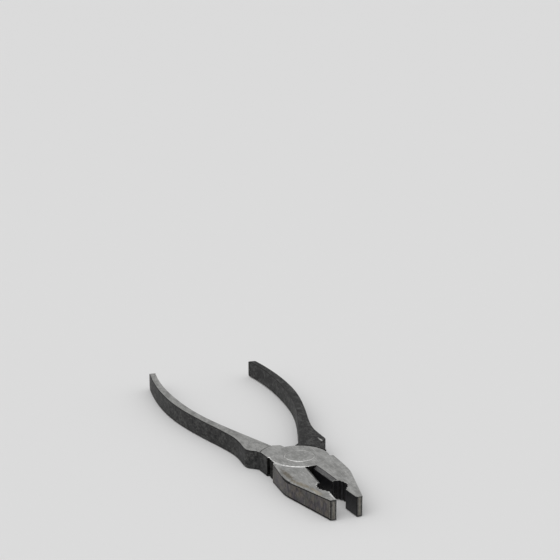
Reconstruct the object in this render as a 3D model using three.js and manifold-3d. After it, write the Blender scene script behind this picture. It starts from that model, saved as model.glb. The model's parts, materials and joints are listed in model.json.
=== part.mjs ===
// Combination pliers with bare forged handles, in millimetres, +Z up.
// Two like forgings cross in a lap joint on one rivet and lie flat, a little open.
// The origin is on the rivet's axis, at the face the pliers lie on. +X points to the jaw tips.
// Each half is drawn closed, its jaw on the +Y side and its handle on the -Y side.
import * as THREE from "three";
import { mergeVertices } from "three/addons/utils/BufferGeometryUtils.js";
import Module from "manifold-3d";

// Overall sizes
const JAW_REACH = 54; // pivot axis to jaw tip
const UPPER_HANDLE_REACH = 145; // pivot axis to handle end
const LOWER_HANDLE_REACH = 148.5;
const HEAD_THICKNESS = 8.9;
const REST_OPENING = 9.6; // degrees between the two halves as they lie

// Lap joint: inside the lap radius each half keeps half the thickness
const LAP_RADIUS = 13.5;
const LAP_CLEARANCE = 0.3; // a lap's rim to the other half
const LAP_FACE_GAP = 0.3; // one lap's flat face to the other's
const BOSS_LEDGE = 4.6; // how far the ground face runs past the lap, onto the handle's root
const SHOULDER_ANGLE = 68; // degrees from +X to the jaw's back face
const STOP_ANGLE = 107; // degrees from +X to the other handle's stop face, closed

// Jaw
const SHOULDER_LEDGE = 1.7; // jaw's back corner past the lap radius
const SHOULDER_ROUND = 0.7;
const BEND_X = 22.6; // where the jaw's side starts to slope to the tip
const BEND_Y = 13.4;
const BEND_ROUND = 3.5;
const TIP_WIDTH = 2.65; // one jaw at its tip
const BITE_CLEARANCE = 0.05; // a jaw's biting face to the centre plane, closed
const FACET_DROP_LAP_SIDE = 0.8; // depth at the bend of the facet sloping from shoulder to tip
const FACET_DROP_BACK_SIDE = 1.75;

// Flat nose, and the toothed round grip behind it
const NOSE_LENGTH = 10;
const GRIP_LENGTH = 12.4;
const GRIP_DEPTH = 3.8;
const GRIP_TEETH = 7;
const TOOTH_DEPTH = 0.7;

// Wire cutter, from the lap's rim to the round grip
const CUTTER_BEVEL_WIDTH = 1.7;
const CUTTER_BEVEL_HEIGHT = 1.2;

// Handle
const UPPER_HANDLE_SPLAY = 0; // degrees that each handle is set out past its waist
const LOWER_HANDLE_SPLAY = 0.65;
const HANDLE_STEP = 0.3; // handle's ground side below the lap's ground face
const ROOT_LEDGE = 0.5; // root's outer side past the lap radius
const ROOT_BACK_ANGLE = 8; // degrees from the centre plane to the root's inner side
const ROOT_HEEL = 2.9; // the ground face's heel past the lap radius
const ROOT_HEEL_Y = 1.8;
const ROOT_HEEL_ANGLE = 4; // where the heel meets the lap's rim
const ROOT_INNER_ANGLE = 16.5; // where the inner side leaves the ground face's edge
const ROOT_INNER_HEADING = 14.5; // degrees that the inner side spreads there
const NECK_X = 12.4; // hollow in front of the finger guard
const GUARD_X = 19.2; // crest of the finger guard
const GUARD_FLARE = 4.1; // guard's crest past the root's outer side
const WAIST_X = 34; // hollow behind the finger guard
const WAIST_Y = 16.6;
const BELLY_X = 95; // where the handle stands furthest out
const BELLY_Y = 23.85;
const BELLY_WIDTH = 4.4;
const END_Y = 16.7; // outer corner of the handle's end
const END_WIDTH = 3.3;
const END_TURN_IN = 15; // degrees that the end leans towards the centre plane
const END_ROUND_LAP_SIDE = 0.8;
const END_ROUND_BACK_SIDE = 2.8;

// Rivet: a pin with a cone head sunk into each half
const RIVET_SHANK_RADIUS = 4.5;
const RIVET_HEAD_RADIUS = 6.8;
const RIVET_HEAD_RIM = 0.8;
const RIVET_HEAD_CONE = 1.8;
const RIVET_CLEARANCE = 0.2;

// How finely curves are cut into straight steps
const ROUND_SEGMENTS = 96;
const CURVE_SEGMENTS = 20;

const MARGIN = 2; // how far a cutting solid runs past what it cuts
const LAP_MIDDLE = HEAD_THICKNESS / 2;
const RECESS_RADIUS = LAP_RADIUS + LAP_CLEARANCE;
const BOSS_RADIUS = LAP_RADIUS + BOSS_LEDGE;
const ROOT_Y = LAP_RADIUS + ROOT_LEDGE;
const GRIP_END_X = JAW_REACH - NOSE_LENGTH;
const GRIP_START_X = GRIP_END_X - GRIP_LENGTH;

const wasm = await Module();
wasm.setup();

const radians = THREE.MathUtils.degToRad;

function polar(radius, degrees) {
  return new THREE.Vector2(radius, 0).rotateAround(new THREE.Vector2(), radians(degrees));
}

// A closed three.js geometry as a solid that can be joined and cut.
function solidFrom(geometry) {
  const bare = geometry.clone();
  bare.deleteAttribute("normal");
  bare.deleteAttribute("uv");
  const merged = mergeVertices(bare);
  return new wasm.Manifold(
    new wasm.Mesh({
      numProp: 3,
      vertProperties: new Float32Array(merged.attributes.position.array),
      triVerts: new Uint32Array(merged.index.array),
    }),
  );
}

// A solid as a three.js geometry.
function geometryFrom(solid) {
  const mesh = solid.getMesh();
  const geometry = new THREE.BufferGeometry();
  geometry.setAttribute("position", new THREE.BufferAttribute(mesh.vertProperties, 3));
  geometry.setIndex(new THREE.BufferAttribute(mesh.triVerts, 1));
  return geometry;
}

// A plan outline raised from one height to another.
function plate(outline, bottom, top) {
  const geometry = new THREE.ExtrudeGeometry(outline, {
    depth: top - bottom,
    curveSegments: CURVE_SEGMENTS,
    bevelEnabled: false,
  });
  return solidFrom(geometry.translate(0, 0, bottom));
}

function disc(radius, bottom, top) {
  const geometry = new THREE.CylinderGeometry(radius, radius, top - bottom, ROUND_SEGMENTS);
  return solidFrom(geometry.rotateX(Math.PI / 2).translate(0, 0, (bottom + top) / 2));
}

// Cuts the corner between two straight runs of an outline to a soft curve.
function softCorner(outline, corner, next, setback) {
  const start = corner.clone().sub(outline.currentPoint).setLength(setback);
  const end = next.clone().sub(corner).setLength(setback);
  outline.lineTo(corner.x - start.x, corner.y - start.y);
  outline.quadraticCurveTo(corner.x, corner.y, corner.x + end.x, corner.y + end.y);
}

// A smooth stretch of outline that leaves and arrives at the given headings, in degrees.
// The two pulls say how far each heading is held, as shares of the stretch.
function flow(outline, end, leave, arrive, leavePull, arrivePull) {
  const start = outline.currentPoint.clone();
  const span = start.distanceTo(end);
  const first = start.clone().add(polar(span * leavePull, leave));
  const second = end.clone().sub(polar(span * arrivePull, arrive));
  outline.bezierCurveTo(first.x, first.y, second.x, second.y, end.x, end.y);
}

// The points of the round grip's toothed arc, from the cutter to the nose.
function gripTeeth() {
  const halfLength = GRIP_LENGTH / 2;
  const radius = (halfLength ** 2 + GRIP_DEPTH ** 2) / (2 * GRIP_DEPTH);
  const centre = new THREE.Vector2(
    GRIP_START_X + halfLength,
    BITE_CLEARANCE + GRIP_DEPTH - radius,
  );
  const sweep = 2 * Math.asin(halfLength / radius);
  const steps = 2 * GRIP_TEETH;
  return Array.from({ length: steps + 1 }, (_, step) => {
    const inTooth = step % 2 === 0 && step > 0 && step < steps;
    const reach = inTooth ? radius - TOOTH_DEPTH : radius;
    const angle = THREE.MathUtils.radToDeg(sweep * (0.5 - step / steps));
    return polar(reach, 90 + angle).add(centre);
  });
}

function shoulderCorner() {
  return polar(LAP_RADIUS + SHOULDER_LEDGE, SHOULDER_ANGLE);
}

function tipCorner() {
  return new THREE.Vector2(JAW_REACH, TIP_WIDTH);
}

function jawOutline() {
  const bend = new THREE.Vector2(BEND_X, BEND_Y);
  const shoulder = shoulderCorner();
  const tip = tipCorner();
  const foot = polar(LAP_RADIUS / 2, SHOULDER_ANGLE);
  const outline = new THREE.Shape();
  outline.moveTo(LAP_RADIUS / 2, BITE_CLEARANCE);
  for (const point of gripTeeth()) outline.lineTo(point.x, point.y);
  outline.lineTo(JAW_REACH, BITE_CLEARANCE);
  outline.lineTo(tip.x, tip.y);
  softCorner(outline, bend, shoulder, BEND_ROUND);
  softCorner(outline, shoulder, foot, SHOULDER_ROUND);
  outline.lineTo(foot.x, foot.y);
  return outline;
}

// The handle's plan is drawn towards +X and +Y and then turned half round the pivot axis.
// The ground face has a heel on its inner side that the rest of the root lacks.
function handleOutline(hasHeel, reach, splay) {
  const stopX = ROOT_Y / Math.tan(radians(180 - STOP_ANGLE));
  const guard = new THREE.Vector2(GUARD_X, ROOT_Y + GUARD_FLARE);
  const pivot = new THREE.Vector2();
  const splayed = (x, y) => new THREE.Vector2(x, y).rotateAround(pivot, radians(splay));
  const endHeading = splay - END_TURN_IN;
  const waist = splayed(WAIST_X, WAIST_Y);
  const belly = splayed(BELLY_X, BELLY_Y);
  const endOuter = splayed(reach, END_Y);
  const endInner = endOuter.clone().sub(polar(END_WIDTH, 90 + endHeading));
  const bellyInner = splayed(BELLY_X, BELLY_Y - BELLY_WIDTH);
  const rootInner = polar(BOSS_RADIUS, ROOT_INNER_ANGLE);
  const outline = new THREE.Shape();
  outline.moveTo(0, 0);
  outline.lineTo(stopX, ROOT_Y);
  outline.lineTo(NECK_X, ROOT_Y);
  flow(outline, guard, 0, 0, 0.3, 0.45);
  flow(outline, waist, 0, splay, 0.2, 0.4);
  flow(outline, belly, splay, splay, 0.2, 0.42);
  flow(outline, endOuter, splay, endHeading, 0.3, 0.35);
  outline.lineTo(endInner.x, endInner.y);
  flow(outline, bellyInner, 180 + endHeading, 180 + splay, 0.35, 0.35);
  flow(outline, rootInner, 180 + splay, 180 + ROOT_INNER_HEADING, 0.35, 0.45);
  const rim = hasHeel
    ? polar(LAP_RADIUS, ROOT_HEEL_ANGLE)
    : polar(RECESS_RADIUS, ROOT_BACK_ANGLE);
  if (hasHeel) outline.lineTo(LAP_RADIUS + ROOT_HEEL, ROOT_HEEL_Y);
  outline.lineTo(rim.x, rim.y);
  return outline;
}

// The handle's shape seen from the side, with the round corners of its end, as wide as the plan.
function handleSide(reach) {
  const high = HEAD_THICKNESS - HANDLE_STEP;
  const side = new THREE.Shape();
  side.moveTo(-MARGIN, 0);
  side.lineTo(reach - END_ROUND_BACK_SIDE, 0);
  side.absarc(
    reach - END_ROUND_BACK_SIDE,
    END_ROUND_BACK_SIDE,
    END_ROUND_BACK_SIDE,
    -Math.PI / 2,
    0,
  );
  side.absarc(
    reach - END_ROUND_LAP_SIDE,
    high - END_ROUND_LAP_SIDE,
    END_ROUND_LAP_SIDE,
    0,
    Math.PI / 2,
  );
  side.lineTo(-MARGIN, high);
  const width = BELLY_Y + GUARD_FLARE + MARGIN;
  const geometry = new THREE.ExtrudeGeometry(side, {
    depth: width + MARGIN,
    curveSegments: CURVE_SEGMENTS,
    bevelEnabled: false,
  });
  return solidFrom(geometry.rotateX(Math.PI / 2).translate(0, width, 0));
}

function handle(reach, splay) {
  const whole = plate(handleOutline(false, reach, splay), 0, HEAD_THICKNESS);
  const blade = whole.intersect(handleSide(reach));
  const bossBottom = LAP_MIDDLE + LAP_FACE_GAP / 2;
  const boss = plate(handleOutline(true, reach, splay), bossBottom, HEAD_THICKNESS).intersect(
    disc(BOSS_RADIUS, bossBottom, HEAD_THICKNESS),
  );
  return blade.add(boss).rotate([0, 0, 180]);
}

// The wedge that leaves the cutter's bevel at one face of the jaw.
function cutterBevel() {
  const run = CUTTER_BEVEL_WIDTH - BITE_CLEARANCE;
  const profile = new THREE.Shape();
  profile.moveTo(BITE_CLEARANCE - run, -2 * CUTTER_BEVEL_HEIGHT);
  profile.lineTo(BITE_CLEARANCE + 2 * run, CUTTER_BEVEL_HEIGHT);
  profile.lineTo(BITE_CLEARANCE - run, CUTTER_BEVEL_HEIGHT);
  const geometry = new THREE.ExtrudeGeometry(profile, {
    depth: GRIP_START_X + MARGIN - RECESS_RADIUS,
    bevelEnabled: false,
  });
  const profileToPart = new THREE.Matrix4().makeBasis(
    new THREE.Vector3(0, 1, 0),
    new THREE.Vector3(0, 0, 1),
    new THREE.Vector3(1, 0, 0),
  );
  return solidFrom(geometry.applyMatrix4(profileToPart).translate(RECESS_RADIUS, 0, HEAD_THICKNESS));
}

// The block above the facet that slopes from the line between shoulder and tip down to the bend.
function facetBlock(drop) {
  const shoulder = shoulderCorner();
  const along = tipCorner().sub(shoulder);
  const length = along.length();
  along.normalize();
  const out = new THREE.Vector2(-along.y, along.x);
  const bendReach = new THREE.Vector2(BEND_X, BEND_Y).sub(shoulder).dot(out);
  const lineAxis = new THREE.Vector3(along.x, along.y, 0);
  const slopeAxis = new THREE.Vector3(out.x, out.y, -drop / bendReach).normalize();
  const liftAxis = new THREE.Vector3().crossVectors(lineAxis, slopeAxis);
  const block = new THREE.BoxGeometry(length + 2 * MARGIN, BEND_Y, HEAD_THICKNESS);
  block.translate(length / 2, 0, HEAD_THICKNESS / 2);
  block.applyMatrix4(new THREE.Matrix4().makeBasis(lineAxis, slopeAxis, liftAxis));
  return solidFrom(block.translate(shoulder.x, shoulder.y, HEAD_THICKNESS));
}

// The rivet's shape, with a clearance all round when it is the hole for it.
function rivetBody(clearance) {
  const shank = RIVET_SHANK_RADIUS + clearance;
  const head = RIVET_HEAD_RADIUS + clearance;
  const coneStart = RIVET_HEAD_RIM + clearance;
  const coneEnd = coneStart + RIVET_HEAD_CONE;
  const past = clearance > 0 ? MARGIN : 0;
  const lower = [
    [0, -past],
    [head, -past],
    [head, coneStart],
    [shank, coneEnd],
  ];
  const upper = lower.map(([radius, height]) => [radius, HEAD_THICKNESS - height]).reverse();
  const profile = [...lower, ...upper].map(([radius, height]) => new THREE.Vector2(radius, height));
  return solidFrom(new THREE.LatheGeometry(profile, ROUND_SEGMENTS).rotateX(Math.PI / 2));
}

// One half, closed, its lap on top. The jaw's facet is ground on the lap's side or on the back.
function half(facetOnLapSide, reach, splay) {
  const lap = disc(LAP_RADIUS, LAP_MIDDLE + LAP_FACE_GAP / 2, HEAD_THICKNESS);
  const recess = disc(RECESS_RADIUS, -MARGIN, LAP_MIDDLE + LAP_FACE_GAP / 2);
  const bevel = cutterBevel();
  const mirror = (solid) => solid.mirror([0, 0, 1]).translate([0, 0, HEAD_THICKNESS]);
  const facet = facetOnLapSide
    ? facetBlock(FACET_DROP_LAP_SIDE)
    : mirror(facetBlock(FACET_DROP_BACK_SIDE));
  const jaw = plate(jawOutline(), 0, HEAD_THICKNESS)
    .subtract(bevel)
    .subtract(mirror(bevel))
    .subtract(facet);
  return jaw.add(handle(reach, splay)).subtract(recess).add(lap).subtract(rivetBody(RIVET_CLEARANCE));
}

function piece(name, solid, colour, roughness) {
  const material = new THREE.MeshStandardMaterial({ color: colour, roughness, metalness: 1 });
  const mesh = new THREE.Mesh(geometryFrom(solid), material);
  mesh.name = name;
  return mesh;
}

const halfOpening = radians(REST_OPENING / 2);

const upperSolid = half(true, UPPER_HANDLE_REACH, UPPER_HANDLE_SPLAY);
const upperHalf = piece("upper_half", upperSolid, 0x8a8a87, 0.45);
upperHalf.rotation.z = halfOpening;

const lowerSolid = half(false, LOWER_HANDLE_REACH, LOWER_HANDLE_SPLAY);
const lowerHalf = piece("lower_half", lowerSolid, 0x4c4b49, 0.55);
lowerHalf.rotation.set(Math.PI, 0, -halfOpening, "ZYX");
lowerHalf.position.z = HEAD_THICKNESS;

const rivet = piece("pivot_rivet", rivetBody(0), 0x969693, 0.4);

const pliers = new THREE.Group();
pliers.add(upperHalf, lowerHalf, rivet);

export default pliers;
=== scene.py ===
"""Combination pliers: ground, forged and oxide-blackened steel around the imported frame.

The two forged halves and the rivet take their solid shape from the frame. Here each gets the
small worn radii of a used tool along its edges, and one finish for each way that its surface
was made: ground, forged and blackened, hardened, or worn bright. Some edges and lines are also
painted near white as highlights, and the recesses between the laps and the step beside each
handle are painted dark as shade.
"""

import json
import logging
import math
from collections.abc import Callable
from dataclasses import dataclass, replace
from enum import Enum

import bmesh
import bpy
import numpy as np
from mathutils import Matrix, Vector
from mathutils.kdtree import KDTree

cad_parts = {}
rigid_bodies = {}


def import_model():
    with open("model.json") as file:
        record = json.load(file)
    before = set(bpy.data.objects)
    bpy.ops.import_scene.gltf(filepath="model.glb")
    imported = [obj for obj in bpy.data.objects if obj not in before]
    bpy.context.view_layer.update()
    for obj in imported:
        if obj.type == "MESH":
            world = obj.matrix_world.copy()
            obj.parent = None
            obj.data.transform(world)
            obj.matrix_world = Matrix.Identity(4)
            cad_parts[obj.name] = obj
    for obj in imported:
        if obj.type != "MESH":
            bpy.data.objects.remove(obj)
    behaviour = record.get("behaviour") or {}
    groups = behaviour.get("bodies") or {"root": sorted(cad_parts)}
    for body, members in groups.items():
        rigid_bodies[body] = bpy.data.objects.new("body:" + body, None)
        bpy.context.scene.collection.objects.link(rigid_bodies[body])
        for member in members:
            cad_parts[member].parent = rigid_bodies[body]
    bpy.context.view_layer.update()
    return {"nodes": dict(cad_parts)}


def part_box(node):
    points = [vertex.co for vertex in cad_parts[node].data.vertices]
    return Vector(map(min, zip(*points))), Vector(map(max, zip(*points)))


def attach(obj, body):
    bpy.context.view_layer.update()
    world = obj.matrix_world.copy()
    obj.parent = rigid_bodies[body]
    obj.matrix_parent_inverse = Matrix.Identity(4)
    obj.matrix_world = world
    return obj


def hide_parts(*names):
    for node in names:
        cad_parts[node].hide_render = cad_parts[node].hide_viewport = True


for leftover in list(bpy.data.objects):
    bpy.data.objects.remove(leftover)
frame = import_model()

LOG = logging.getLogger("pliers")
MM = 0.001

# Degrees that each half is turned out from closed, as the tool lies.
HALF_OPENING = 4.8

# Material slots of a piece that has been rounded and not yet dressed.
MAIN_SLOT = 0
ROUNDED_SLOT = 1

# How a finish's noise is drawn and read. Its values crowd round a half, within the spread,
# and a layer's seed moves its noise along the three axes by these shares of itself.
NOISE_SPREAD = 0.42
NOISE_ROUGHNESS = 0.6
SEED_SHARES = (1.0, 0.7, 1.3)
GRAIN_DETAIL = 4.0
GRAIN_ROUGHNESS = 0.65
GRAIN_RANGE = (0.3, 0.7)

# How a stain's edge is broken up and how softly it fades, as shares of its half length.
STAIN_WOBBLE = 1.4
STAIN_WOBBLE_SIZE = 1.5
STAIN_WOBBLE_DETAIL = 2.0
STAIN_FADE = (1.1, 0.2)


class Direction(Enum):
    """Axis of a half that a finish's marks run along."""

    LENGTH = (1.0, 0.0, 0.0)
    HEIGHT = (0.0, 0.0, 1.0)


class Region(Enum):
    """Surface regions of one half, each with a finish of its own."""

    GROUND_HEAD = "ground head"
    GROUND_HANDLE = "ground handle"
    FORGED = "forged and blackened"
    JAW_SIDE = "jaw side"
    NOSE_FRONT = "nose front"
    BITE = "hardened bite"
    CUTTER = "ground cutter"
    EDGE_DARK = "blackened edge"
    EDGE_WORN_HIGHLIGHT = "worn edge"
    EDGE_HANDLE = "handle edge"
    BORDER_PALE = "pale border"
    BORDER_DARK = "dark border"
    GAP = "lap rim"


def linear_colour(sheet: str) -> tuple[float, float, float, float]:
    """Turns an sRGB hex colour into linear light.

    Args:
        sheet: the colour as "#rrggbb".

    Returns:
        Linear red, green, blue and an alpha of 1.
    """
    channels = [int(sheet[i : i + 2], 16) / 255 for i in (1, 3, 5)]
    low = [c / 12.92 if c <= 0.04045 else ((c + 0.055) / 1.055) ** 2.4 for c in channels]
    return low[0], low[1], low[2], 1.0


def add_node(
    tree: bpy.types.NodeTree,
    kind: str,
    settings: dict | None = None,
    links: dict | None = None,
) -> bpy.types.Node:
    """Adds one node, sets it and wires it.

    Args:
        tree: the node tree that takes the node.
        kind: Blender's name for the node type.
        settings: node properties by name, and socket values by socket name or number.
        links: the output socket that feeds each input, by socket name or number.

    Returns:
        The new node.
    """
    node = tree.nodes.new(kind)
    sockets = {}
    for key, value in (settings or {}).items():
        if isinstance(key, str) and hasattr(node, key):
            setattr(node, key, value)
        else:
            sockets[key] = value
    for key, value in sockets.items():
        node.inputs[key].default_value = value
    for key, source in (links or {}).items():
        tree.links.new(source, node.inputs[key])
    return node


@dataclass(frozen=True)
class Layer:
    """A second tone that breaks up a finish: blotches, marks or specks.

    Sizes are in millimetres. A layer with length equal to size is round; a longer one is
    drawn out along the finish's direction of work.
    """

    colour: str
    size: float
    length: float
    share: float
    softness: float
    strength: float
    seed: float = 0.0
    detail: float = 3.0


@dataclass(frozen=True)
class Stain:
    """A soft streak of another tone: rust, a scuff, or a painted highlight. Places are in millimetres.
    """

    colour: str
    centre: tuple[float, float]
    angle: float
    length: float
    width: float
    strength: float


@dataclass(frozen=True)
class Arc:
    """A thin line of painted light or shade on a ground face along a circle about the rivet. Sizes are
    in millimetres.
    """

    colour: str
    radius: float
    width: float
    strength: float


@dataclass(frozen=True)
class SteelFinish:
    """One steel surface: what it is made of and how it was worked.

    The colour starts from the base and takes the layers, then the stains, then the arcs. Relief
    and its size are in millimetres.
    """

    name: str
    base: str
    metallic: float
    roughness: tuple[float, float]
    layers: tuple[Layer, ...]
    relief: float
    relief_size: float
    direction: Direction = Direction.LENGTH
    stains: tuple[Stain, ...] = ()
    arcs: tuple[Arc, ...] = ()
    specular: float = 0.5

    def _pattern(
        self, tree: bpy.types.NodeTree, place: bpy.types.NodeSocket, layer: Layer
    ) -> bpy.types.NodeSocket:
        """Draws one layer's mask from noise in the half's own coordinates.

        Args:
            tree: the material's node tree.
            place: object coordinates, in metres.
            layer: the layer to draw.

        Returns:
            A mask from 0, none of the layer, to its full strength.
        """
        across = 1.0 / (layer.size * MM)
        along = 1.0 / (layer.length * MM)
        scale = [along if axis else across for axis in self.direction.value]
        stretch = add_node(
            tree,
            "ShaderNodeMapping",
            {"Scale": scale, "Location": [layer.seed * share for share in SEED_SHARES]},
            {"Vector": place},
        )
        noise = add_node(
            tree,
            "ShaderNodeTexNoise",
            {"Scale": 1.0, "Detail": layer.detail, "Roughness": NOISE_ROUGHNESS},
            {"Vector": stretch.outputs["Vector"]},
        )
        middle = 0.5 + (0.5 - layer.share) * NOISE_SPREAD
        mask = add_node(
            tree,
            "ShaderNodeMapRange",
            {
                "interpolation_type": "SMOOTHSTEP",
                "From Min": middle - layer.softness / 2,
                "From Max": middle + layer.softness / 2,
                "To Min": 0.0,
                "To Max": layer.strength,
            },
            {"Value": noise.outputs["Fac"]},
        )
        return mask.outputs["Result"]

    def _stain_mask(
        self, tree: bpy.types.NodeTree, place: bpy.types.NodeSocket, stain: Stain
    ) -> bpy.types.NodeSocket:
        """Draws a stain's soft, uneven patch.

        Args:
            tree: the material's node tree.
            place: object coordinates, in metres.
            stain: the stain to draw.

        Returns:
            A mask from 0 to the stain's strength.
        """
        turn = math.radians(stain.angle)
        x, y = (c * MM for c in stain.centre)
        along = (x * math.cos(turn) + y * math.sin(turn)) / (stain.length / 2 * MM)
        across = (y * math.cos(turn) - x * math.sin(turn)) / (stain.width / 2 * MM)
        turned = add_node(
            tree, "ShaderNodeMapping", {"Rotation": (0.0, 0.0, -turn)}, {"Vector": place}
        )
        scaled = add_node(
            tree,
            "ShaderNodeMapping",
            {
                "Scale": (2 / (stain.length * MM), 2 / (stain.width * MM), 0.0),
                "Location": (-along, -across, 0.0),
            },
            {"Vector": turned.outputs["Vector"]},
        )
        wobble = add_node(
            tree,
            "ShaderNodeTexNoise",
            {"Scale": 1 / (STAIN_WOBBLE_SIZE * MM), "Detail": STAIN_WOBBLE_DETAIL},
            {"Vector": place},
        )
        reach = add_node(
            tree, "ShaderNodeVectorMath", {"operation": "LENGTH"}, {0: scaled.outputs["Vector"]}
        )
        uneven = add_node(
            tree,
            "ShaderNodeMath",
            {"operation": "MULTIPLY_ADD", 1: STAIN_WOBBLE, 2: -STAIN_WOBBLE / 2},
            {0: wobble.outputs["Fac"]},
        )
        total = add_node(
            tree,
            "ShaderNodeMath",
            {"operation": "ADD"},
            {0: reach.outputs["Value"], 1: uneven.outputs["Value"]},
        )
        mask = add_node(
            tree,
            "ShaderNodeMapRange",
            {
                "interpolation_type": "SMOOTHSTEP",
                "From Min": STAIN_FADE[0],
                "From Max": STAIN_FADE[1],
                "To Min": 0.0,
                "To Max": stain.strength,
            },
            {"Value": total.outputs["Value"]},
        )
        return mask.outputs["Result"]

    def _arc_mask(
        self, tree: bpy.types.NodeTree, place: bpy.types.NodeSocket, arc: Arc
    ) -> bpy.types.NodeSocket:
        """Draws a thin line along a circle about the rivet.

        Args:
            tree: the material's node tree.
            place: object coordinates, in metres.
            arc: the line to draw.

        Returns:
            A mask from 0 to the line's strength.
        """
        flat = add_node(
            tree, "ShaderNodeVectorMath", {"operation": "MULTIPLY", 1: (1.0, 1.0, 0.0)}, {0: place}
        )
        reach = add_node(
            tree, "ShaderNodeVectorMath", {"operation": "LENGTH"}, {0: flat.outputs["Vector"]}
        )
        off = add_node(
            tree,
            "ShaderNodeMath",
            {"operation": "SUBTRACT", 1: arc.radius * MM},
            {0: reach.outputs["Value"]},
        )
        gap = add_node(tree, "ShaderNodeMath", {"operation": "ABSOLUTE"}, {0: off.outputs["Value"]})
        mask = add_node(
            tree,
            "ShaderNodeMapRange",
            {
                "From Min": arc.width / 2 * MM,
                "From Max": arc.width / 4 * MM,
                "To Min": 0.0,
                "To Max": arc.strength,
            },
            {"Value": gap.outputs["Value"]},
        )
        return mask.outputs["Result"]

    def build(self) -> bpy.types.Material:
        """Builds the finish as a procedural material.

        Returns:
            The material, named for the finish.
        """
        material = bpy.data.materials.new(self.name)
        material.use_nodes = True
        tree = material.node_tree
        tree.nodes.clear()
        place = add_node(tree, "ShaderNodeTexCoord").outputs["Object"]
        masks = [(layer.colour, self._pattern(tree, place, layer)) for layer in self.layers]
        masks += [(stain.colour, self._stain_mask(tree, place, stain)) for stain in self.stains]
        masks += [(arc.colour, self._arc_mask(tree, place, arc)) for arc in self.arcs]
        colour = None
        # Inputs 6 and 7 of this node are its two colours.
        for tone, mask in masks:
            mixed = add_node(
                tree,
                "ShaderNodeMix",
                {"data_type": "RGBA", 6: linear_colour(self.base), 7: linear_colour(tone)},
                {0: mask, **({6: colour} if colour else {})},
            )
            colour = mixed.outputs[2]
        grain = add_node(
            tree,
            "ShaderNodeTexNoise",
            {
                "Scale": 1 / (self.relief_size * MM),
                "Detail": GRAIN_DETAIL,
                "Roughness": GRAIN_ROUGHNESS,
            },
            {"Vector": place},
        )
        roughness = add_node(
            tree,
            "ShaderNodeMapRange",
            {
                "From Min": GRAIN_RANGE[0],
                "From Max": GRAIN_RANGE[1],
                "To Min": self.roughness[0],
                "To Max": self.roughness[1],
            },
            {"Value": grain.outputs["Fac"]},
        )
        bump = add_node(
            tree,
            "ShaderNodeBump",
            {"Strength": 1.0, "Distance": self.relief * MM},
            {"Height": grain.outputs["Fac"]},
        )
        shader = add_node(
            tree,
            "ShaderNodeBsdfPrincipled",
            {"Metallic": self.metallic, "Specular IOR Level": self.specular},
            {
                "Base Color": colour,
                "Roughness": roughness.outputs["Result"],
                "Normal": bump.outputs["Normal"],
            },
        )
        add_node(tree, "ShaderNodeOutputMaterial", {}, {"Surface": shader.outputs["BSDF"]})
        return material


# Drop-forged tool steel, surface-ground after forging: light satin grey with fine lengthwise
# grinding marks. The marks are really 0.05 mm wide and are drawn at 0.3 mm so that they show.
GROUND_HEAD = SteelFinish(
    name="ground_tool_steel",
    base="#b4b4b2",
    metallic=1.0,
    roughness=(0.36, 0.5),
    layers=(
        Layer("#929290", size=3.4, length=5.0, share=0.5, softness=0.3, strength=0.9),
        Layer("#d4d4d2", size=0.3, length=5.0, share=0.35, softness=0.2, strength=0.4, seed=3.1),
        Layer("#6e6e6c", size=0.35, length=2.5, share=0.25, softness=0.2, strength=0.4, seed=7.7),
        Layer("#dededc", size=1.0, length=1.6, share=0.2, softness=0.15, strength=0.4, seed=11.3),
    ),
    relief=0.02,
    relief_size=0.35,
)

# The same ground steel on the jaw that is turned over: handled, faintly rusted along its facet,
# and painted near white as highlights beside the flat nose and round the other half's lap.
STAINED_AND_HIGHLIGHTED_HEAD = SteelFinish(
    name="ground_tool_steel_stained_and_highlighted",
    base="#b0b0ae",
    metallic=1.0,
    roughness=(0.38, 0.52),
    layers=GROUND_HEAD.layers,
    relief=0.02,
    relief_size=0.35,
    stains=(
        Stain("#6b6250", centre=(19.0, -13.0), angle=2.0, length=17.0, width=2.4, strength=0.7),
        Stain("#8f826a", centre=(31.5, -11.4), angle=16.0, length=17.0, width=2.2, strength=0.6),
        Stain("#a89c80", centre=(42.0, -8.8), angle=9.0, length=13.0, width=2.2, strength=0.55),
        # Painted highlight along the flat nose's inner edge.
        Stain("#ffffff", centre=(48.9, -4.0), angle=-4.8, length=12.5, width=3.0, strength=1.0),
    ),
    # Painted highlight along the edge round the other half's lap.
    arcs=(Arc("#ffffff", radius=14.3, width=0.8, strength=0.9),),
)

# The same ground steel along a handle, less even: scale is left in the low spots, so it is
# speckled, and a dark line of painted shade lies in the low step beside the head.
GROUND_HANDLE = SteelFinish(
    name="ground_steel_with_scale_and_painted_step_shade",
    base="#b4b4b2",
    metallic=1.0,
    roughness=(0.42, 0.58),
    layers=(
        Layer("#8a8a88", size=2.6, length=5.0, share=0.45, softness=0.25, strength=0.8),
        Layer("#5c5c5a", size=0.5, length=0.9, share=0.28, softness=0.15, strength=0.6, seed=5.3),
        Layer("#d6d6d4", size=0.5, length=1.2, share=0.26, softness=0.15, strength=0.5, seed=9.1),
    ),
    relief=0.03,
    relief_size=0.5,
    # Painted shade in the low step beside the head.
    arcs=(Arc("#2c2c2a", radius=18.5, width=0.9, strength=0.85),),
)

# Hot-forged steel with black oxide over the forging scale: charcoal, matt and mottled where the
# scale came away in patches.
FORGED = SteelFinish(
    name="black_oxide_forged_steel",
    base="#2f2f2f",
    metallic=0.0,
    roughness=(0.5, 0.68),
    layers=(
        Layer("#454544", size=3.2, length=4.0, share=0.42, softness=0.14, strength=0.8),
        Layer("#121212", size=1.2, length=1.6, share=0.42, softness=0.14, strength=0.75, seed=2.3),
        Layer("#686866", size=0.9, length=1.1, share=0.16, softness=0.1, strength=0.55, seed=8.9),
    ),
    relief=0.08,
    relief_size=0.9,
    specular=0.18,
)

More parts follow.
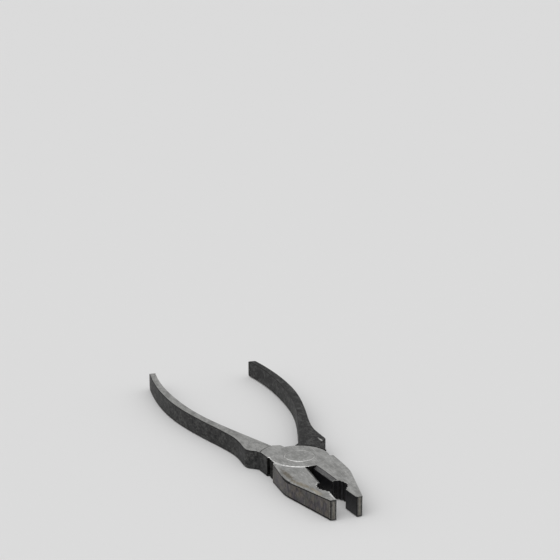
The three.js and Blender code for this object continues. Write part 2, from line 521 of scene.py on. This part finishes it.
# The same black oxide on the handle that lies back up: deeper black, with pale scuffs at its root.
FORGED_BACK = replace(
    FORGED,
    name="black_oxide_forged_steel_scuffed",
    base="#262626",
    stains=(
        Stain("#b4b4b2", centre=(-16.4, 16.8), angle=0.0, length=6.0, width=1.3, strength=0.9),
        Stain("#a2a2a0", centre=(-10.4, 15.6), angle=-60.0, length=5.0, width=1.1, strength=0.8),
    ),
)

# Oxide-blackened jaw flank, linished up and down: the belt leaves thin upright streaks, and the
# thin oxide keeps a brown to purple temper tint.
JAW_SIDE = SteelFinish(
    name="linished_black_oxide_steel",
    base="#555452",
    metallic=0.8,
    roughness=(0.4, 0.55),
    layers=(
        Layer("#6e665c", size=5.0, length=6.0, share=0.45, softness=0.22, strength=0.7),
        Layer("#433f49", size=3.2, length=3.6, share=0.45, softness=0.18, strength=0.75, seed=4.4),
        Layer("#83817d", size=0.6, length=5.0, share=0.28, softness=0.15, strength=0.5, seed=6.1),
        Layer("#2e2e2d", size=0.8, length=2.2, share=0.32, softness=0.15, strength=0.5, seed=9.9),
    ),
    relief=0.03,
    relief_size=0.4,
    direction=Direction.HEIGHT,
)

# Blunt front of each nose, ground through the oxide: brownish grey with upright marks.
NOSE_FRONT = SteelFinish(
    name="ground_nose_steel",
    base="#7d7a74",
    metallic=0.9,
    roughness=(0.42, 0.55),
    layers=(
        Layer("#56534d", size=0.7, length=3.0, share=0.45, softness=0.2, strength=0.7),
        Layer("#a3a19a", size=0.5, length=2.0, share=0.25, softness=0.15, strength=0.5, seed=3.3),
    ),
    relief=0.02,
    relief_size=0.3,
    direction=Direction.HEIGHT,
)

# Induction-hardened biting faces: blue-black heat oxide, rubbed thin along the ridges.
BITE = SteelFinish(
    name="hardened_oxide_steel",
    base="#1e1e20",
    metallic=0.5,
    roughness=(0.4, 0.55),
    layers=(
        Layer("#2e2e33", size=1.6, length=3.0, share=0.4, softness=0.25, strength=0.6),
        Layer("#5a5a5e", size=0.4, length=3.5, share=0.16, softness=0.1, strength=0.55, seed=5.7),
    ),
    relief=0.03,
    relief_size=0.4,
    direction=Direction.HEIGHT,
)

# Cutting-edge bevel: ground after hardening, mid grey, marks along the edge.
CUTTER = SteelFinish(
    name="ground_cutter_steel",
    base="#707070",
    metallic=1.0,
    roughness=(0.35, 0.5),
    layers=(
        Layer("#525252", size=0.4, length=5.0, share=0.45, softness=0.2, strength=0.6),
        Layer("#9a9a9a", size=0.3, length=4.0, share=0.3, softness=0.15, strength=0.5, seed=2.9),
    ),
    relief=0.015,
    relief_size=0.3,
)

# Edges, and borders along the jaw side's top and bottom, painted near black with the odd lighter spot;
# in the step beside the head this black is painted shade.
EDGE_DARK = SteelFinish(
    name="blackened_edge_steel",
    base="#0f0f0e",
    metallic=0.0,
    roughness=(0.45, 0.6),
    layers=(
        Layer("#4a4844", size=0.8, length=2.4, share=0.22, softness=0.15, strength=0.6),
    ),
    relief=0.02,
    relief_size=0.4,
    specular=0.15,
)

# Edges that knock and rub on other things: bare steel, painted near white as a highlight, broken by
# darker spots.
EDGE_WORN_HIGHLIGHT = SteelFinish(
    name="worn_steel_painted_highlight",
    base="#f4f4f2",
    metallic=1.0,
    roughness=(0.3, 0.45),
    layers=(
        Layer("#a2a2a0", size=0.8, length=1.6, share=0.3, softness=0.2, strength=0.8),
    ),
    relief=0.01,
    relief_size=0.3,
)

# Handle edges, rubbed by the hand: grey, between the ground face and the oxide.
EDGE_HANDLE = SteelFinish(
    name="rubbed_edge_steel",
    base="#a5a5a3",
    metallic=1.0,
    roughness=(0.4, 0.55),
    layers=(
        Layer("#565654", size=1.2, length=3.0, share=0.4, softness=0.2, strength=0.8),
        Layer("#cfcfcd", size=0.6, length=1.2, share=0.25, softness=0.15, strength=0.6, seed=4.1),
    ),
    relief=0.02,
    relief_size=0.4,
)

# Border of an oxide face, rubbed thin next to its edge: a paler band of the same steel.
BORDER_PALE = SteelFinish(
    name="rubbed_oxide_steel",
    base="#7b7974",
    metallic=0.9,
    roughness=(0.4, 0.55),
    layers=(
        Layer("#565450", size=0.9, length=1.6, share=0.45, softness=0.2, strength=0.8),
    ),
    relief=0.02,
    relief_size=0.4,
)

# Narrow border round the nose's front: darker than its face.
BORDER_DARK = SteelFinish(
    name="scale_shadowed_steel",
    base="#5d5d5b",
    metallic=0.9,
    roughness=(0.45, 0.6),
    layers=(
        Layer("#3c3c3a", size=0.8, length=2.0, share=0.4, softness=0.2, strength=0.8),
        Layer("#8a8a88", size=0.5, length=1.0, share=0.25, softness=0.15, strength=0.6, seed=7.3),
    ),
    relief=0.02,
    relief_size=0.4,
)

# The laps' rims and the stop faces: never rubbed, black oxide painted near black as their shade.
GAP = SteelFinish(
    name="black_oxide_steel_painted_shade",
    base="#0a0a09",
    metallic=0.0,
    roughness=(0.5, 0.65),
    layers=(
        Layer("#1c1b19", size=1.4, length=2.4, share=0.35, softness=0.2, strength=0.6),
    ),
    relief=0.03,
    relief_size=0.5,
    specular=0.1,
)

# Mild steel rivet, peened and then ground flush with the head: satin grey with short marks.
RIVET_FACE = SteelFinish(
    name="ground_rivet_steel",
    base="#b4b4b2",
    metallic=1.0,
    roughness=(0.38, 0.5),
    layers=(
        Layer("#969694", size=2.6, length=3.2, share=0.5, softness=0.25, strength=0.9),
        Layer("#dcdcda", size=1.2, length=1.6, share=0.24, softness=0.15, strength=0.5, seed=6.6),
        Layer("#747472", size=0.35, length=3.0, share=0.25, softness=0.2, strength=0.3, seed=1.7),
    ),
    relief=0.02,
    relief_size=0.35,
)

REGION_FINISHES = {
    Region.GROUND_HEAD: GROUND_HEAD,
    Region.GROUND_HANDLE: GROUND_HANDLE,
    Region.FORGED: FORGED,
    Region.JAW_SIDE: JAW_SIDE,
    Region.NOSE_FRONT: NOSE_FRONT,
    Region.BITE: BITE,
    Region.CUTTER: CUTTER,
    Region.EDGE_DARK: EDGE_DARK,
    Region.EDGE_WORN_HIGHLIGHT: EDGE_WORN_HIGHLIGHT,
    Region.EDGE_HANDLE: EDGE_HANDLE,
    Region.BORDER_PALE: BORDER_PALE,
    Region.BORDER_DARK: BORDER_DARK,
    Region.GAP: GAP,
}


@dataclass(frozen=True)
class EdgeRounding:
    """The worn radii of a forged tool's edges. Lengths are in millimetres, angles in degrees.

    Attributes:
        width: the rounding's width on each side of an edge.
        tooth_width: the same in fine work.
        most_share: most of a short neighbouring edge that a rounding may use up.
        side_turn: cosine of the angle past which a neighbouring edge counts as another side.
        sharp_angle: faces that meet at more than this are rounded.
        crease_angle: faces that meet at less than this are shaded as one curved surface.
        blend: cosine of the widest angle that one rounding's faces are blended over.
        segments: flat steps across a rounding.
        weld: corners closer than this are one corner.
        flatness: faces that meet at less than this are one face.
        passes: most tries at finding the corners that are too tight to round.
        stray_reach: most distance from its edge, in widths, of a rounding's vertex.
        spare_area: extra area, in square millimetres, that shows a face's outline has crossed.
        least_corners: faces with fewer corners aren't searched for crossings.
        corner_reach: length of a long edge's end that stays sharp with a tight corner.
        long_edge: an edge longer than this is a long one.
    """

    width: float = 0.28
    tooth_width: float = 0.22
    most_share: float = 0.4
    side_turn: float = 0.8
    sharp_angle: float = 28.0
    crease_angle: float = 6.0
    blend: float = 0.5
    segments: int = 2
    weld: float = 0.1
    flatness: float = 0.4
    passes: int = 12
    stray_reach: float = 1.6
    spare_area: float = 0.2
    least_corners: int = 5
    corner_reach: float = 0.7
    long_edge: float = 3.0

    def _clean_copy(self, node: bpy.types.Object) -> bmesh.types.BMesh:
        """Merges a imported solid's triangles into flat faces, and marks off its long edges' ends.

        Args:
            node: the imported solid; it isn't changed.

        Returns:
            The clean mesh, shaded smooth.
        """
        shape = bmesh.new()
        shape.from_mesh(node.data)
        bmesh.ops.remove_doubles(shape, verts=shape.verts, dist=self.weld * MM)
        flat = math.radians(self.flatness)
        bmesh.ops.dissolve_limit(shape, angle_limit=flat, verts=shape.verts, edges=shape.edges)
        for face in shape.faces:
            face.material_index = MAIN_SLOT
            face.smooth = True
        for edge in list(shape.edges):
            if edge.calc_length() > self.long_edge * MM and self._is_sharp(edge):
                for end in list(edge.verts):
                    bmesh.utils.edge_split(edge, end, self.corner_reach * MM / edge.calc_length())
        shape.verts.index_update()
        return shape

    def _is_sharp(self, edge: bmesh.types.BMEdge) -> bool:
        """Tells whether the two faces beside an edge meet at a real corner."""
        return edge.calc_face_angle(0.0) > math.radians(self.sharp_angle)

    def _room(self, edge: bmesh.types.BMEdge) -> float:
        """Finds how wide an edge's rounding may be beside short neighbours.

        Args:
            edge: the edge to round.

        Returns:
            The width, in millimetres.
        """
        along = (edge.verts[1].co - edge.verts[0].co).normalized()
        room = self.width
        for end in edge.verts:
            for other in end.link_edges:
                if other is edge:
                    continue
                ray = other.other_vert(end).co - end.co
                if abs(ray.normalized().dot(along)) < self.side_turn:
                    room = min(room, self.most_share * ray.length / MM)
        return room

    def _rounded(self, shape: bmesh.types.BMesh, name: str) -> bpy.types.Mesh:
        """Rounds the weighted edges of a mesh.

        Args:
            shape: the clean mesh with its edge weights.
            name: the new mesh's name.

        Returns:
            The rounded mesh.
        """
        mesh = bpy.data.meshes.new(name)
        shape.to_mesh(mesh)
        for _ in (MAIN_SLOT, ROUNDED_SLOT):
            mesh.materials.append(None)
        holder = bpy.data.objects.new(name, mesh)
        bpy.context.scene.collection.objects.link(holder)
        rounding = holder.modifiers.new("worn_edges", "BEVEL")
        rounding.limit_method = "WEIGHT"
        rounding.width = self.width * MM
        rounding.segments = self.segments
        rounding.material = ROUNDED_SLOT
        rounding.use_clamp_overlap = False
        bpy.context.view_layer.update()
        result = bpy.data.meshes.new_from_object(
            holder.evaluated_get(bpy.context.evaluated_depsgraph_get())
        )
        bpy.data.objects.remove(holder)
        return result

    def _strays(self, result: bpy.types.Mesh, starts: np.ndarray, spans: np.ndarray) -> set[int]:
        """Finds rounding vertices that ran away from the edges they should follow.

        Args:
            result: the rounded mesh.
            starts: one end of each sharp edge.
            spans: the vector to each sharp edge's other end.

        Returns:
            The numbers of the stray vertices.
        """
        strays = set()
        lengths = (spans**2).sum(1)
        used = {v for f in result.polygons if f.material_index == ROUNDED_SLOT for v in f.vertices}
        for number in used:
            ray = np.array(result.vertices[number].co) - starts
            share = np.clip((ray * spans).sum(1) / lengths, 0, 1)
            gap = np.sqrt(((ray - share[:, None] * spans) ** 2).sum(1)).min()
            if gap > self.stray_reach * self.width * MM:
                strays.add(number)
        return strays

    def _crossings(self, result: bpy.types.Mesh) -> set[int]:
        """Finds where the outline of a face that was cut back crosses itself.

        Args:
            result: the rounded mesh.

        Returns:
            The numbers of the vertices on both sides of each crossing.
        """
        result.calc_loop_triangles()
        covered = np.zeros(len(result.polygons))
        for triangle in result.loop_triangles:
            covered[triangle.polygon_index] += triangle.area
        crossings = set()
        for face in result.polygons:
            spare = covered[face.index] - face.area
            if spare < self.spare_area * MM * MM or len(face.vertices) < self.least_corners:
                continue
            flatten = face.normal.to_track_quat("Z", "Y").to_matrix().inverted()
            points = np.array([(flatten @ result.vertices[v].co)[:2] for v in face.vertices])
            steps = np.roll(points, -1, 0) - points
            rays = points[None, :] - points[:, None]
            side = steps[:, None, 0] * rays[..., 1] - steps[:, None, 1] * rays[..., 0]
            splits = side * np.roll(side, -1, 1) < 0
            for number in np.flatnonzero((splits & splits.T).any(1)):
                crossings.add(face.vertices[number])
                crossings.add(face.vertices[(number + 1) % len(face.vertices)])
        return crossings

    def apply(
        self, node: bpy.types.Object, name: str, is_fine: Callable[[Vector], bool]
    ) -> bpy.types.Object:
        """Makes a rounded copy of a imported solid.

        Corners too tight for their rounding are left sharp.

        Args:
            node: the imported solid; it isn't changed.
            name: the new piece's name.
            is_fine: tells whether an edge's middle lies in fine work, which is rounded less.

        Returns:
            The new piece. Its roundings are in ROUNDED_SLOT, and all other faces in MAIN_SLOT.
        """
        shape = self._clean_copy(node)
        corners = KDTree(len(shape.verts))
        for vert in shape.verts:
            corners.insert(vert.co, vert.index)
        corners.balance()
        weights = shape.edges.layers.float.new("bevel_weight_edge")
        sharp = [edge for edge in shape.edges if self._is_sharp(edge)]
        starts = np.array([edge.verts[0].co for edge in sharp])
        spans = np.array([edge.verts[1].co for edge in sharp]) - starts
        rooms = {}
        for edge in sharp:
            fine = is_fine((edge.verts[0].co + edge.verts[1].co) / 2)
            rooms[edge] = min(self._room(edge), self.tooth_width if fine else self.width)
        tight = set()
        for _ in range(self.passes):
            for edge, room in rooms.items():
                blocked = any(end.index in tight for end in edge.verts)
                edge[weights] = 0.0 if blocked else room / self.width
            result = self._rounded(shape, name)
            strays = self._strays(result, starts, spans)
            crossings = self._crossings(result)
            if not strays and not crossings:
                break
            tight.update(corners.find(result.vertices[v].co)[1] for v in crossings)
            for face in result.polygons:
                if face.material_index == ROUNDED_SLOT and strays.intersection(face.vertices):
                    kept = [v for v in face.vertices if v not in strays] or list(face.vertices)
                    tight.update(corners.find(result.vertices[v].co)[1] for v in kept)
        LOG.info(
            "%s: %d corners left sharp, %d strays, %d crossings",
            name,
            len(tight),
            len(strays),
            len(crossings),
        )
        shape.free()
        reach = np.array([vert.co for vert in node.data.vertices])
        places = np.clip([vert.co for vert in result.vertices], reach.min(0), reach.max(0))
        result.vertices.foreach_set("co", places.ravel())
        flags = np.array([int(face.material_index == ROUNDED_SLOT) for face in result.polygons])
        result.attributes.new("rounded", "INT", "FACE").data.foreach_set("value", flags)
        piece = bpy.data.objects.new(name, result)
        bpy.context.scene.collection.objects.link(piece)
        return piece

    def shade(self, mesh: bpy.types.Mesh) -> None:
        """Keeps flat faces flat in the light and blends the roundings into them.

        Args:
            mesh: a mesh made by apply; it gets a normal of its own at each face corner.
        """
        shape = bmesh.new()
        shape.from_mesh(mesh)
        rounded = shape.faces.layers.int["rounded"]
        level = math.cos(math.radians(self.crease_angle))
        normals = []
        for face in shape.faces:
            for corner in face.loops:
                around = corner.vert.link_faces
                main = [other for other in around if not other[rounded]]
                target = face.normal
                if face[rounded]:
                    beside = [other for other in main if other.normal.dot(target) > self.blend]
                    if beside:
                        target = max(beside, key=lambda other: other.normal.dot(face.normal)).normal
                        near = [other for other in main if other.normal.dot(target) > level]
                    else:
                        near = [other for other in around if other.normal.dot(target) > self.blend]
                else:
                    near = [other for other in main if other.normal.dot(target) > level]
                normals.append(sum((other.normal for other in near), Vector()).normalized())
        shape.free()
        mesh.normals_split_custom_set(normals)


def fill_slots(mesh: bpy.types.Mesh, materials: list[bpy.types.Material]) -> None:
    """Fills a mesh's material slots in order, and keeps each face's slot number.

    Args:
        mesh: the mesh to dress.
        materials: one material for each slot.
    """
    while len(mesh.materials) < len(materials):
        mesh.materials.append(None)
    for number, material in enumerate(materials):
        mesh.materials[number] = material


# How far a face's normal lies along an axis, as a cosine, for the face to count as facing it.
NEARLY_LEVEL = 0.93
LEVEL = 0.85
SLANTED = 0.35
BEVELLED = 0.3
SQUARE = 0.9
FACING = 0.6
SIDEWAYS = 0.2


@dataclass
class ForgedHalf:
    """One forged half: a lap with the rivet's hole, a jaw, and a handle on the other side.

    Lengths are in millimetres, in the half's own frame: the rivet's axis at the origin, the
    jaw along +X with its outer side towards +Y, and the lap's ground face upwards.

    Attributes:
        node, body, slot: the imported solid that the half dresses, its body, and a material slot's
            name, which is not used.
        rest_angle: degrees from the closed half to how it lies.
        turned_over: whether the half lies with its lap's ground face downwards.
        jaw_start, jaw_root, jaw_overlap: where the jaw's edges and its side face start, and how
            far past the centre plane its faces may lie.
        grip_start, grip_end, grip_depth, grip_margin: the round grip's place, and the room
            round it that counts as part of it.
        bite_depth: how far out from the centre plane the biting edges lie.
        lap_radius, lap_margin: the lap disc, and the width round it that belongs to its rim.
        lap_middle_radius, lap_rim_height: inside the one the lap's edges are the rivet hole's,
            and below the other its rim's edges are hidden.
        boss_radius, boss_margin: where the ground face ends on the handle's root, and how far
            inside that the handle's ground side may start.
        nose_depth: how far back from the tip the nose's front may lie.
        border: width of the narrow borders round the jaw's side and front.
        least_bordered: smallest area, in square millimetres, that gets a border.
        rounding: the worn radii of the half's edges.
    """

    node: str
    body: str
    slot: str
    rest_angle: float
    turned_over: bool
    jaw_start: float = 12.0
    jaw_root: float = 6.0
    jaw_overlap: float = 3.0
    grip_start: float = 31.6
    grip_end: float = 44.0
    grip_depth: float = 5.0
    grip_margin: float = 0.6
    bite_depth: float = 4.6
    lap_radius: float = 13.5
    lap_margin: float = 0.6
    lap_middle_radius: float = 10.5
    lap_rim_height: float = 1.0
    boss_radius: float = 18.1
    boss_margin: float = 1.0
    nose_depth: float = 2.0
    border: float = 0.55
    least_bordered: float = 1.5
    rounding: EdgeRounding = EdgeRounding()

    def __post_init__(self) -> None:
        """Reads the half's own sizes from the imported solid."""
        low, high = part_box(self.node)
        self.thickness = (high.z - low.z) / MM
        self.tip = high.x / MM
        spin = Matrix.Rotation(math.radians(-self.rest_angle), 4, "Z")
        if self.turned_over:
            lift = Matrix.Translation((0.0, 0.0, -self.thickness * MM))
            self.to_own = Matrix.Rotation(math.pi, 4, "X") @ spin @ lift
        else:
            self.to_own = spin

    def _is_fine(self, point: Vector) -> bool:
        """Tells whether a point lies in the round grip's teeth."""
        own = self.to_own @ point / MM
        on_grip = self.grip_start - self.grip_margin < own.x < self.grip_end + self.grip_margin
        return on_grip and abs(own.y) < self.grip_depth

    def _edge_region(self, own: Vector, normal: Vector) -> Region:
        """Chooses the finish of a rounded edge.

        Args:
            own: the face's middle in the half's own frame, in millimetres.
            normal: the face's normal in that frame.

        Returns:
            The region that the rounding belongs to.
        """
        radius = math.hypot(own.x, own.y)
        if radius < self.lap_middle_radius:
            return Region.GROUND_HEAD
        if radius < self.lap_radius + self.lap_margin:
            # Rim roundings that face down or lie below the lap's top are painted near black as shade
            # in the recess.
            if normal.z < SLANTED or own.z < self.thickness - self.lap_rim_height:
                return Region.GAP
            # The rim's rounding is painted near white as a highlight on the sides that show one, and
            # stays ground steel on the rest.
            shows_highlight = own.x > -self.lap_radius / 2 and (own.x < 0 or own.y < 0)
            return Region.EDGE_WORN_HIGHLIGHT if shows_highlight else Region.GROUND_HEAD
        # Level roundings on the handle's side, such as the fillet in the step beside the head, are
        # painted near black as shade.
        if abs(normal.z) > NEARLY_LEVEL:
            return Region.GROUND_HEAD if own.x > 0 else Region.EDGE_DARK
        if own.x > self.jaw_start:
            behind_tip = self.grip_start < own.x < self.tip - self.grip_margin
            if behind_tip and own.y < self.bite_depth and abs(normal.z) > SLANTED:
                # On the half that is turned over, the nose's inner edge is painted near white as a
                # highlight.
                return Region.EDGE_WORN_HIGHLIGHT if self.turned_over else Region.GROUND_HEAD
            return Region.EDGE_DARK
        if own.x < -self.boss_radius and normal.z > SLANTED and normal.y > 0:
            return Region.EDGE_HANDLE
        return Region.EDGE_DARK

    def _face_region(self, own: Vector, normal: Vector) -> Region:
        """Chooses the finish of a main face.

        Args:
            own: the face's middle in the half's own frame, in millimetres.
            normal: the face's normal in that frame.

        Returns:
            The region that the face belongs to.
        """
        radius = math.hypot(own.x, own.y)
        on_jaw = own.x > self.jaw_root and own.y > -self.jaw_overlap
        if abs(normal.z) > LEVEL:
            if radius > self.boss_radius - self.boss_margin and own.x < 0:
                return Region.GROUND_HANDLE if normal.z > 0 else Region.FORGED
            return Region.GROUND_HEAD
        if abs(normal.z) > BEVELLED and own.x > self.jaw_start:
            return Region.CUTTER
        # Stop faces, the shoulders' backs and the laps' walls face into the recesses between the
        # halves, and are painted near black as their shade.
        stop_face = own.x < 0 and normal.x > FACING and radius < self.boss_radius
        shoulder_back = on_jaw and normal.x < -FACING
        if radius < self.lap_radius + self.lap_margin or stop_face or shoulder_back:
            return Region.GAP
        if on_jaw and normal.x > SQUARE and own.x > self.tip - self.nose_depth:
            return Region.NOSE_FRONT
        if own.x > self.lap_radius and normal.y < SIDEWAYS:
            return Region.BITE
        if on_jaw:
            return Region.JAW_SIDE
        return Region.FORGED

    def _border_region(self, own: Vector, region: Region) -> Region:
        """Chooses the finish of the narrow border round a main face.

        Args:
            own: the border face's middle in the half's own frame, in millimetres.
            region: the region that the border surrounds.

        Returns:
            The region that the border belongs to.
        """
        if region is Region.NOSE_FRONT:
            return Region.BORDER_DARK
        along_face = abs(own.z - self.thickness / 2) > self.thickness / 4
        return Region.EDGE_DARK if along_face else Region.BORDER_PALE

    def _dress(self, mesh: bpy.types.Mesh) -> None:
        """Gives every face its region, then draws the borders round the jaw's side and front.

        Args:
            mesh: the rounded mesh, with a material slot for each region.
        """
        order = list(Region)
        spin = self.to_own.to_3x3()
        shape = bmesh.new()
        shape.from_mesh(mesh)
        for face in shape.faces:
            own = self.to_own @ face.calc_center_median() / MM
            normal = spin @ face.normal
            on_edge = face.material_index == ROUNDED_SLOT
            region = self._edge_region(own, normal) if on_edge else self._face_region(own, normal)
            face.material_index = order.index(region)
        for region in (Region.JAW_SIDE, Region.NOSE_FRONT):
            main = [
                face
                for face in shape.faces
                if face.material_index == order.index(region)
                and face.calc_area() > self.least_bordered * MM * MM
            ]
            strips = bmesh.ops.inset_region(
                shape, faces=main, thickness=self.border * MM, use_boundary=True
            )["faces"]
            for face in strips:
                own = self.to_own @ face.calc_center_median() / MM
                face.material_index = order.index(self._border_region(own, region))
        shape.to_mesh(mesh)
        shape.free()

    def build(self, finishes: dict[Region, bpy.types.Material]) -> bpy.types.Object:
        """Builds the half and dresses it.

        Args:
            finishes: the material of each region.

        Returns:
            The finished piece, riding on its body.
        """
        piece = self.rounding.apply(frame["nodes"][self.node], self.node + "_forging", self._is_fine)
        fill_slots(piece.data, [finishes[region] for region in Region])
        self._dress(piece.data)
        self.rounding.shade(piece.data)
        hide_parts(self.node)
        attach(piece, self.body)
        return piece


@dataclass
class PivotRivet:
    """The countersunk rivet that both laps turn on, ground flush on both sides.

    It is spread a little by the factor fit, so that its heads all but fill their sinks.
    """

    node: str = "pivot_rivet"
    body: str = "lower"
    slot: str = "rivet_steel"
    fit: float = 1.02
    rounding: EdgeRounding = EdgeRounding()

    def build(self, face: bpy.types.Material, rim: bpy.types.Material) -> bpy.types.Object:
        """Builds the rivet and dresses it.

        Args:
            face: the material of the ground faces.
            rim: the material of the rounded rims: worn steel, painted near white as a highlight.

        Returns:
            The finished piece, riding on its body.
        """
        piece = self.rounding.apply(frame["nodes"][self.node], "rivet", lambda _: False)
        piece.data.transform(Matrix.Diagonal((self.fit, self.fit, 1.0, 1.0)))
        fill_slots(piece.data, [face, rim])
        self.rounding.shade(piece.data)
        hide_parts(self.node)
        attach(piece, self.body)
        return piece


@dataclass
class Studio:
    """A pale floor under soft light, and the camera.

    Places are in metres, angles in degrees, and the lens and its sensor in millimetres.
    """

    floor_radius: float = 30.0
    floor_steps: int = 96
    floor_drop: float = 0.0002
    floor_colour: str = "#e8e8e8"
    floor_roughness: float = 0.9
    floor_specular: float = 0.1
    sky_strength: float = 0.62
    sun_strength: float = 1.0
    sun_spread: float = 70.0
    sun_tilt: float = 35.0
    sun_azimuth: float = 40.0
    camera_place: tuple[float, float, float] = (0.588, -0.2315, 0.2448)
    camera_azimuth: float = 69.297
    camera_dip: float = 13.79
    camera_range: tuple[float, float] = (0.01, 100.0)
    lens: float = 96.43
    sensor: float = 36.0

    def _floor(self) -> None:
        """Lays a round matt floor under the tool."""
        shape = bmesh.new()
        bmesh.ops.create_circle(
            shape, cap_ends=True, segments=self.floor_steps, radius=self.floor_radius
        )
        mesh = bpy.data.meshes.new("floor")
        shape.to_mesh(mesh)
        shape.free()
        floor = bpy.data.objects.new("floor", mesh)
        floor.location.z = -self.floor_drop
        bpy.context.scene.collection.objects.link(floor)
        material = bpy.data.materials.new("matt_white_card")
        material.use_nodes = True
        tree = material.node_tree
        tree.nodes.clear()
        shader = add_node(
            tree,
            "ShaderNodeBsdfPrincipled",
            {
                "Base Color": linear_colour(self.floor_colour),
                "Roughness": self.floor_roughness,
                "Specular IOR Level": self.floor_specular,
            },
        )
        add_node(tree, "ShaderNodeOutputMaterial", {}, {"Surface": shader.outputs["BSDF"]})
        floor.data.materials.append(material)

    def _lights(self) -> None:
        """Sets an even white sky and one very soft sun high over the camera's left shoulder."""
        world = bpy.data.worlds.new("studio")
        bpy.context.scene.world = world
        world.use_nodes = True
        sky = world.node_tree.nodes["Background"]
        sky.inputs["Color"].default_value = (1.0, 1.0, 1.0, 1.0)
        sky.inputs["Strength"].default_value = self.sky_strength
        sun = bpy.data.lights.new("softbox", "SUN")
        sun.energy = self.sun_strength
        sun.angle = math.radians(self.sun_spread)
        holder = bpy.data.objects.new("softbox", sun)
        holder.rotation_euler = (math.radians(self.sun_tilt), 0.0, math.radians(self.sun_azimuth))
        bpy.context.scene.collection.objects.link(holder)

    def _camera(self) -> None:
        """Sets the camera, with plain colour handling so that colours come out as given."""
        lens = bpy.data.cameras.new("camera")
        lens.sensor_width = self.sensor
        lens.lens = self.lens
        lens.clip_start, lens.clip_end = self.camera_range
        holder = bpy.data.objects.new("camera", lens)
        holder.location = self.camera_place
        holder.rotation_euler = (
            math.radians(90 - self.camera_dip),
            0.0,
            math.radians(self.camera_azimuth),
        )
        bpy.context.scene.collection.objects.link(holder)
        bpy.context.scene.camera = holder
        bpy.context.scene.view_settings.view_transform = "Standard"
        bpy.context.scene.view_settings.look = "None"

    def build(self) -> None:
        """Builds the floor, the lights and the camera."""
        self._floor()
        self._lights()
        self._camera()


def write_sizes() -> None:
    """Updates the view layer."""
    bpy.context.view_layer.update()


def main() -> None:
    """Builds the pliers and the studio, in order."""
    logging.basicConfig(level=logging.INFO, format="%(name)s: %(message)s")
    finishes = {region: finish.build() for region, finish in REGION_FINISHES.items()}
    halves = (
        ForgedHalf("lower_half", "lower", "lower_forging", rest_angle=-HALF_OPENING, turned_over=True),
        ForgedHalf("upper_half", "upper", "upper_forging", rest_angle=HALF_OPENING, turned_over=False),
    )
    for half in halves:
        worn = {}
        if half.turned_over:
            worn = {Region.GROUND_HEAD: STAINED_AND_HIGHLIGHTED_HEAD.build(), Region.FORGED: FORGED_BACK.build()}
        piece = half.build(finishes | worn)
        LOG.info("%s: %d faces", piece.name, len(piece.data.polygons))
    rivet = PivotRivet().build(RIVET_FACE.build(), finishes[Region.EDGE_WORN_HIGHLIGHT])
    LOG.info("%s: %d faces", rivet.name, len(rivet.data.polygons))
    Studio().build()
    LOG.info("studio: floor, lights and camera")
    write_sizes()


if __name__ == "__main__":
    main()
